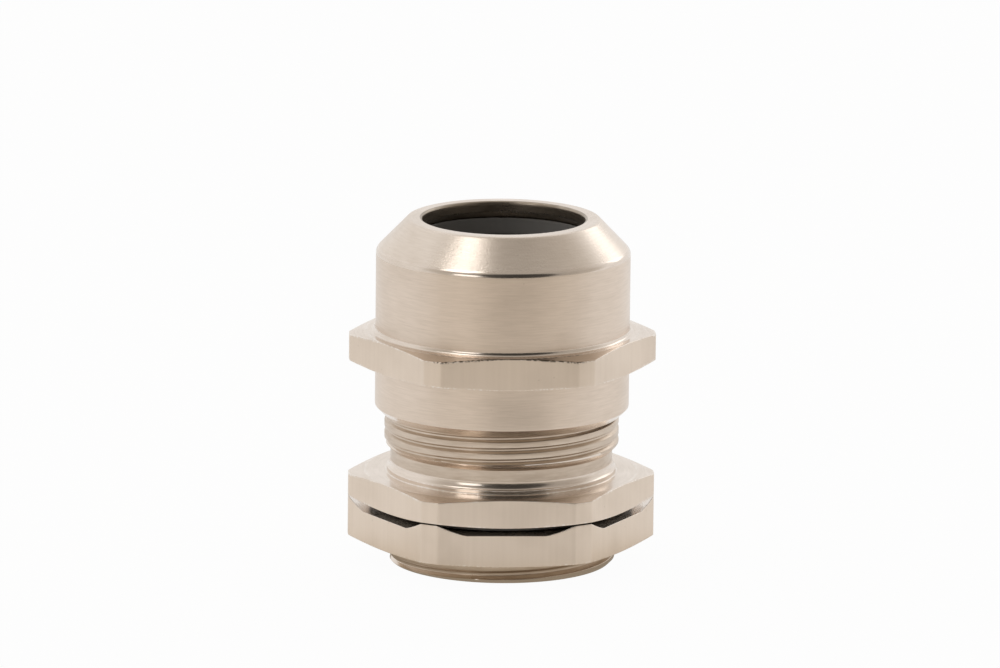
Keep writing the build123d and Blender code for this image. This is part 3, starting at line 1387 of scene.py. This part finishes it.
class FingerRing:
    """Repeats one finger evenly round the axis with a Geometry Nodes tree."""

    def __init__(self, name: str, count: int, material: bpy.types.Material) -> None:
        """Build the tree, with the number of fingers as its named input.

        Args:
            name: The tree's name.
            count: How many fingers there are.
            material: What the fingers are made in.
        """
        self.count = count
        self.tree = bpy.data.node_groups.new(name, "GeometryNodeTree")
        face = self.tree.interface
        face.new_socket("Geometry", in_out="INPUT", socket_type="NodeSocketGeometry")
        self.count_socket = face.new_socket(
            "Fingers", in_out="INPUT", socket_type="NodeSocketInt"
        ).identifier
        face.new_socket("Geometry", in_out="OUTPUT", socket_type="NodeSocketGeometry")
        nodes, links = self.tree.nodes, self.tree.links
        given = nodes.new("NodeGroupInput")
        points = nodes.new("GeometryNodePoints")
        links.new(given.outputs["Fingers"], points.inputs["Count"])
        index = nodes.new("GeometryNodeInputIndex")
        share = math_node(self.tree, "DIVIDE", index.outputs[0], given.outputs["Fingers"])
        turn = math_node(self.tree, "MULTIPLY", share, 2 * math.pi)
        spin = nodes.new("ShaderNodeCombineXYZ")
        links.new(turn, spin.inputs["Z"])
        euler = nodes.new("FunctionNodeEulerToRotation")
        links.new(spin.outputs[0], euler.inputs[0])
        place = nodes.new("GeometryNodeInstanceOnPoints")
        links.new(points.outputs[0], place.inputs["Points"])
        links.new(given.outputs["Geometry"], place.inputs["Instance"])
        links.new(euler.outputs[0], place.inputs["Rotation"])
        realize = nodes.new("GeometryNodeRealizeInstances")
        links.new(place.outputs[0], realize.inputs[0])
        paint = nodes.new("GeometryNodeSetMaterial")
        paint.inputs["Material"].default_value = material
        links.new(realize.outputs[0], paint.inputs["Geometry"])
        result = nodes.new("NodeGroupOutput")
        links.new(paint.outputs[0], result.inputs[0])

    def repeat(self, name: str, finger: bpy.types.Mesh) -> bpy.types.Mesh:
        """Run the tree on one finger.

        Args:
            name: The new mesh's name.
            finger: One finger, where it stands on the ring.

        Returns:
            A plain mesh of all the fingers.
        """
        carrier = bpy.data.objects.new(name, finger)
        bpy.context.scene.collection.objects.link(carrier)
        modifier = carrier.modifiers.new("fingers", "NODES")
        modifier.node_group = self.tree
        modifier[self.count_socket] = self.count
        graph = bpy.context.evaluated_depsgraph_get()
        mesh = bpy.data.meshes.new_from_object(carrier.evaluated_get(graph))
        carrier.modifiers.clear()
        bpy.data.objects.remove(carrier)
        return mesh


def finger_mesh(
    name: str, outline: Sequence[Point], half_angle: float, slot_mm: float
) -> bpy.types.Mesh:
    """One sector of a ring, closed on every side.

    Args:
        name: The mesh's name.
        outline: The closed (radius, height) outline.
        half_angle: Half of the sector's angle, in radians.
        slot_mm: Width of the saw cut taken off between sectors.

    Returns:
        The mesh, in metres.
    """
    steps = 8
    shape = bmesh.new()
    rings = []
    for step in range(steps + 1):
        side = 2 * step / steps - 1
        ring = []
        for radius, z in outline:
            angle = side * (half_angle - math.asin(slot_mm / 2 / radius))
            ring.append(
                shape.verts.new((radius * math.cos(angle) * MM, radius * math.sin(angle) * MM, z * MM))
            )
        rings.append(ring)
    count = len(outline)
    for first, second in zip(rings, rings[1:]):
        for index in range(count):
            nxt = (index + 1) % count
            shape.faces.new((first[index], second[index], second[nxt], first[nxt]))
    shape.faces.new(rings[0])
    shape.faces.new(list(reversed(rings[-1])))
    bmesh.ops.recalc_face_normals(shape, faces=shape.faces)
    mesh = bpy.data.meshes.new(name)
    shape.to_mesh(mesh)
    shape.free()
    return mesh


def joined(
    name: str, meshes: Sequence[bpy.types.Mesh], material: bpy.types.Material
) -> bpy.types.Object:
    """Put several meshes into one object of one material, each still a closed skin.

    Args:
        name: The object's name.
        meshes: The meshes, where they stand on the piece.
        material: What all of the object is made in.

    Returns:
        The object, at the origin.
    """
    shape = bmesh.new()
    for mesh in meshes:
        shape.from_mesh(mesh)
    whole = bpy.data.meshes.new(name)
    shape.to_mesh(whole)
    shape.free()
    whole.polygons.foreach_set("material_index", np.zeros(len(whole.polygons), np.int32))
    whole.materials.append(material)
    whole.shade_smooth()
    whole.set_sharp_from_angle(angle=FINGER_SHARP_ANGLE)
    piece = bpy.data.objects.new(name, whole)
    bpy.context.scene.collection.objects.link(piece)
    return piece


@dataclass(frozen=True)
class ClampingInsert:
    """Plastic cage with a plain ring at its foot and fingers above it."""

    radius: float = 8.6
    inner: float = 8.0
    head: float = 9.15
    shoulder_z: float = 14.1
    slot_foot_z: float = 11.2
    tip_radius: float = 8.2
    fingers: int = 12
    slot: float = 0.9

    def build(self, palette: Palette) -> bpy.types.Object:
        """Build the insert and put it on its CAD body.

        Args:
            palette: Where the materials come from.

        Returns:
            The placed piece.
        """
        node = "clamping_insert"
        low_z, high_z = bottom_of(node), top_of(node)
        foot_top = self.slot_foot_z
        rows = rounded(
            [
                Corner(self.inner, low_z, 0.05, Finish.NYLON),
                Corner(self.radius, low_z, 0.15, Finish.NYLON),
                Corner(self.radius, foot_top, 0.0, Finish.NYLON),
                Corner(self.inner, foot_top, 0.0, Finish.NYLON),
            ]
        )
        foot = tidy(turned_mesh(node, lambda angle: rows, columns()))
        bevel_z = high_z + self.tip_radius - self.head
        outline = [
            (self.inner, foot_top - 0.02),
            (self.radius, foot_top - 0.02),
            (self.radius, self.shoulder_z),
            (self.head, self.shoulder_z + self.head - self.radius),
            (self.head, bevel_z),
            (self.tip_radius, high_z),
            (self.inner, high_z),
        ]
        finger = finger_mesh("cage_finger", outline, math.pi / self.fingers, self.slot)
        tree = FingerRing("cage_fingers", self.fingers, palette.material(Finish.NYLON))
        cage = tree.repeat("cage_fingers", finger)
        piece = joined("clamping_insert_nylon", [foot, cage], palette.material(Finish.NYLON))
        return place_piece(piece, "body", node, f"cage of {self.fingers} fingers")


@dataclass(frozen=True)
class ContactRing:
    """Sheet spring with fingers that pinch the cable's braid."""

    radius: float = 8.6
    bend: float = 7.4
    waist: float = 5.65
    tip: float = 6.25
    sheet: float = 0.3
    fingers: int = 16
    slot: float = 0.7

    def build(self, palette: Palette) -> bpy.types.Object:
        """Build the contact and put it on its CAD body.

        Args:
            palette: Where the materials come from.

        Returns:
            The placed piece.
        """
        node = "contact_ring"
        low_z, high_z = bottom_of(node), top_of(node)
        metal = palette.material(Finish.SPRING)
        rim = rounded(
            [
                Corner(self.bend, high_z - self.sheet, 0.05, Finish.SPRING),
                Corner(self.radius, high_z - self.sheet, 0.08, Finish.SPRING),
                Corner(self.radius, high_z, 0.08, Finish.SPRING),
                Corner(self.bend, high_z, 0.05, Finish.SPRING),
            ]
        )
        ring = tidy(turned_mesh(node, lambda angle: rim, columns()))
        line = self.spring_line(high_z - self.sheet / 2, low_z)
        outline = self.thickened(line)
        finger = finger_mesh("spring_finger", outline, math.pi / self.fingers, self.slot)
        tree = FingerRing("spring_fingers", self.fingers, metal)
        springs = tree.repeat("spring_fingers", finger)
        piece = joined("contact_ring_spring", [ring, springs], metal)
        return place_piece(piece, "body", node, f"{self.fingers} fingers")

    def spring_line(self, top_z: float, low_z: float) -> list[Point]:
        """Middle line of a finger, from the ring down to its tip, with a soft bend.

        Args:
            top_z: Height of the sheet's middle at the ring.
            low_z: Height of the fingers' lowest point.

        Returns:
            The line's (radius, height) points.
        """
        waist_z = top_z - (self.bend - self.waist)
        tip_z = low_z + self.sheet / 2
        points = []
        steps = 5
        for step in range(steps + 1):
            share = step / steps
            points.append((self.bend + 0.3 - 0.3 * share, top_z))
        for step in range(1, steps + 1):
            share = step / steps
            radius = self.bend + (self.waist - self.bend) * share
            points.append((radius, top_z + (waist_z - top_z) * share ** 1.1))
        for step in range(1, steps + 1):
            share = step / steps
            radius = self.waist + (self.tip - self.waist) * share ** 1.6
            points.append((radius, waist_z + (tip_z - waist_z) * share))
        return points

    def thickened(self, line: Sequence[Point]) -> list[Point]:
        """Closed outline of a strip of the sheet's thickness along a line.

        Args:
            line: The (radius, height) points of the strip's middle.

        Returns:
            The outline, down one side and back up the other.
        """
        left, right = [], []
        for index, (radius, z) in enumerate(line):
            before = line[max(index - 1, 0)]
            after = line[min(index + 1, len(line) - 1)]
            along = Vector((after[0] - before[0], after[1] - before[1])).normalized()
            normal = Vector((-along.y, along.x)) * (self.sheet / 2)
            left.append((radius + normal.x, z + normal.y))
            right.append((radius - normal.x, z - normal.y))
        return left + right[::-1]


# ---------------------------------------------------------------------------------------------
# Stage, light and camera
# ---------------------------------------------------------------------------------------------


@dataclass(frozen=True)
class SoftBox:
    """A square soft light that faces the object.

    azimuth is measured as the camera's is, from -Y towards +X.
    """

    name: str
    azimuth: float
    elevation: float
    distance: float
    size: float
    radiance: float
    color: tuple[float, float, float] = (1.0, 1.0, 1.0)

    def build(self, aim: Vector) -> None:
        """Put the light in the scene.

        Args:
            aim: The point that the light faces.
        """
        data = bpy.data.lights.new(self.name, "AREA")
        data.shape = "SQUARE"
        data.size = self.size
        data.energy = self.radiance * math.pi * self.size**2
        data.color = self.color
        light = bpy.data.objects.new(self.name, data)
        direction = heading(self.azimuth, self.elevation)
        light.location = aim + direction * self.distance
        light.rotation_mode = "QUATERNION"
        light.rotation_quaternion = (-direction).to_track_quat("-Z", "Y")
        bpy.context.scene.collection.objects.link(light)


def heading(azimuth: float, elevation: float) -> Vector:
    """Unit vector from the object towards an azimuth and elevation.

    Args:
        azimuth: Degrees from -Y towards +X.
        elevation: Degrees up from level.

    Returns:
        The unit vector.
    """
    turn, rise = math.radians(azimuth), math.radians(elevation)
    level = math.cos(rise)
    return Vector((math.sin(turn) * level, -math.cos(turn) * level, math.sin(rise)))


@dataclass(frozen=True)
class Studio:
    """Pale floor, white surroundings and soft lights."""

    floor_radius: float = 1.2
    floor_color: tuple[float, float, float] = (0.80, 0.80, 0.80)
    floor_gap: float = 2e-5
    floor_glow: float = 0.965
    floor_gloss: float = 0.85
    # The floor's glow to glossy rays carries painted shade: it dims towards the front from floor_back
    # to floor_front, dims further near the axis within floor_shade as a painted shadow under the
    # object, and turns warm (floor_tint) where it is dim.
    floor_front: tuple[float, float] = (-0.13, 0.72)
    floor_back: tuple[float, float] = (-0.02, 1.0)
    dim_side: tuple[float, float] = (11.0, 28.0)
    floor_shade: tuple[float, float, float] = (0.012, 0.022, 0.36)
    floor_tint: tuple[float, float, float] = (1.0, 0.875, 0.70)
    tint: tuple[float, float, float] = (1.0, 0.935, 0.855)
    warm_level: float = 0.64
    room_stops: tuple[tuple[float, float], ...] = (
        (0.0, 0.95),
        (0.3, 0.60),
        (0.79, 0.45),
        (0.855, 0.09),
        (1.0, 0.05),
    )
    boxes: tuple[SoftBox, ...] = (
        SoftBox("front_left_box", -35, 18, 0.50, 0.19, 1.3),
        SoftBox("left_box", -67, 64, 0.42, 0.15, 1.7),
        SoftBox("right_back_box", 137, 27, 0.50, 0.17, 0.85),
    )

    def build(self, floor_z: float, aim: Vector) -> None:
        """Build the floor, the world and the lights.

        Args:
            floor_z: Height of the object's lowest point, in metres.
            aim: The point that the lights face.
        """
        self.floor(floor_z)
        self.world()
        for box in self.boxes:
            box.build(aim)
        LOG.info("studio: floor, surroundings and %d soft lights", len(self.boxes))

    def floor(self, floor_z: float) -> None:
        """A pale disc that the camera sees as white, and that keeps the object's shadow.

        It is clear from below, so that the object's underside can be seen.

        Args:
            floor_z: Height of the object's lowest point, in metres.
        """
        shape = bmesh.new()
        bmesh.ops.create_circle(shape, cap_ends=True, segments=96, radius=self.floor_radius)
        mesh = bpy.data.meshes.new("floor")
        shape.to_mesh(mesh)
        shape.free()
        mesh.transform(Matrix.Translation((0, 0, floor_z - self.floor_gap)))
        board = NodeBoard("floor_white")
        board.shader.inputs["Base Color"].default_value = (*self.floor_color, 1)
        board.shader.inputs["Roughness"].default_value = 0.9
        board.shader.inputs["Specular IOR Level"].default_value = 0.1
        path = board.add("ShaderNodeLightPath")
        place = board.add("ShaderNodeTexCoord").outputs["Object"]
        depth = board.add("ShaderNodeSeparateXYZ", Vector=place).outputs["Y"]
        # Painted shade in the glow that glossy rays see: darker towards the front and round the axis,
        # where it stands for the object's shadow; camera rays see white.
        (front_y, front), (back_y, back) = self.floor_front, self.floor_back
        level = board.ramp(depth, front_y, back_y, front, back)
        near, far, shade = self.floor_shade
        shaded = board.ramp(board.length(place), near, far, shade, 1.0)
        level = board.math("MULTIPLY", level, shaded)
        level = board.math("MAXIMUM", level, path.outputs["Is Camera Ray"])
        white = board.ramp(level, self.warm_level, 1.0, 0.0, 1.0)
        hue = board.mix(white, (*self.floor_tint, 1), (1, 1, 1, 1))
        glow = board.add("ShaderNodeEmission", Color=hue, Strength=level)
        seen = board.math("MULTIPLY", path.outputs["Is Camera Ray"], self.floor_glow)
        shown = board.math("MULTIPLY", path.outputs["Is Glossy Ray"], self.floor_gloss)
        share = board.math("ADD", seen, shown)
        top = board.mix_shader(share, board.shader.outputs[0], glow.outputs[0])
        under = board.add("ShaderNodeNewGeometry").outputs["Backfacing"]
        clear = board.add("ShaderNodeBsdfTransparent").outputs[0]
        whole = board.mix_shader(under, top, clear)
        board.feed(board.tree.nodes["Material Output"].inputs["Surface"], whole)
        mesh.materials.append(board.material)
        floor = bpy.data.objects.new("floor", mesh)
        bpy.context.scene.collection.objects.link(floor)
        floor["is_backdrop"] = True

    def world(self) -> None:
        """White to the camera, and a soft grey room to everything else."""
        world = bpy.data.worlds.new("studio")
        bpy.context.scene.world = world
        world.use_nodes = True
        nodes, links = world.node_tree.nodes, world.node_tree.links
        background = nodes["Background"]
        path = nodes.new("ShaderNodeLightPath")
        white = nodes.new("ShaderNodeBackground")
        white.inputs["Strength"].default_value = 1.0
        white.inputs["Color"].default_value = (1, 1, 1, 1)
        room = self.room(world.node_tree)
        links.new(room, background.inputs["Color"])
        background.inputs["Strength"].default_value = 1.0
        mixed = nodes.new("ShaderNodeMixShader")
        links.new(path.outputs["Is Camera Ray"], mixed.inputs[0])
        links.new(background.outputs[0], mixed.inputs[1])
        links.new(white.outputs[0], mixed.inputs[2])
        links.new(mixed.outputs[0], nodes["World Output"].inputs["Surface"])

    def room(self, tree: bpy.types.NodeTree) -> bpy.types.NodeSocket:
        """Brightness of the room by direction: dim in front and overhead, bright behind.

        Args:
            tree: The world's nodes.

        Returns:
            The socket of the room's color.
        """
        place = tree.nodes.new("ShaderNodeTexCoord")
        front = tree.nodes.new("ShaderNodeVectorMath")
        front.operation = "DOT_PRODUCT"
        tree.links.new(place.outputs["Generated"], front.inputs[0])
        front.inputs[1].default_value = heading(*self.dim_side)
        ramp = tree.nodes.new("ShaderNodeValToRGB")
        tree.links.new(front.outputs["Value"], ramp.inputs[0])
        stops = ramp.color_ramp.elements
        while len(stops) < len(self.room_stops):
            stops.new(0.5)
        for stop, (position, level) in zip(stops, self.room_stops):
            stop.position = position
            stop.color = (*self.toned(level), 1)
        return ramp.outputs["Color"]

    def toned(self, level: float) -> list[float]:
        """The color of a brightness: white where the room is bright, warm where it is dim."""
        warmth = min(1.0, (1.0 - level) / (1.0 - self.warm_level))
        return [level * (1 + warmth * (share - 1)) for share in self.tint]


@dataclass(frozen=True)
class Camera:
    """A long lens a little above the object, turned a little to the left of its front flat."""

    azimuth: float = -2.5
    elevation: float = 12.35
    distance: float = 0.86
    roll: float = 0.6
    view_width: float = 0.0873
    aim_height: float = 0.01462
    aim_side: float = -0.00022
    sensor: float = 36.0

    def build(self) -> None:
        """Make the camera the scene's camera."""
        data = bpy.data.cameras.new("camera")
        data.sensor_width = self.sensor
        data.lens = self.sensor * self.distance / self.view_width
        data.clip_start, data.clip_end = 0.01, 10.0
        camera = bpy.data.objects.new("camera", data)
        direction = heading(self.azimuth, self.elevation)
        turn = math.radians(self.azimuth)
        sideways = Vector((math.cos(turn), math.sin(turn), 0))
        aim = Vector((0, 0, self.aim_height)) + sideways * self.aim_side
        camera.location = aim + direction * self.distance
        camera.rotation_mode = "QUATERNION"
        look = (-direction).to_track_quat("-Z", "Y")
        camera.rotation_quaternion = look @ Quaternion((0, 0, 1), math.radians(self.roll))
        bpy.context.scene.collection.objects.link(camera)
        bpy.context.scene.camera = camera
        LOG.info("camera: %.0f mm lens at %.2f m", data.lens, self.distance)


def main() -> None:
    """Build the gland's pieces in order, then the studio and the camera."""
    logging.basicConfig(level=logging.INFO, format="%(message)s")
    bpy.context.scene.view_settings.view_transform = "Standard"
    palette = Palette()
    threads = Threads()
    GlandBody(threads).build(palette)
    Locknut(threads).build(palette)
    CapNut(threads).build(palette)
    rings = SoftRings()
    rings.o_ring(palette)
    rings.thrust_ring(palette)
    rings.sealing_insert(palette)
    ClampingInsert().build(palette)
    ContactRing().build(palette)
    Studio().build(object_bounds()[0].z, Vector((0, 0, 0.01)))
    Camera().build()


if __name__ == "__main__":
    main()
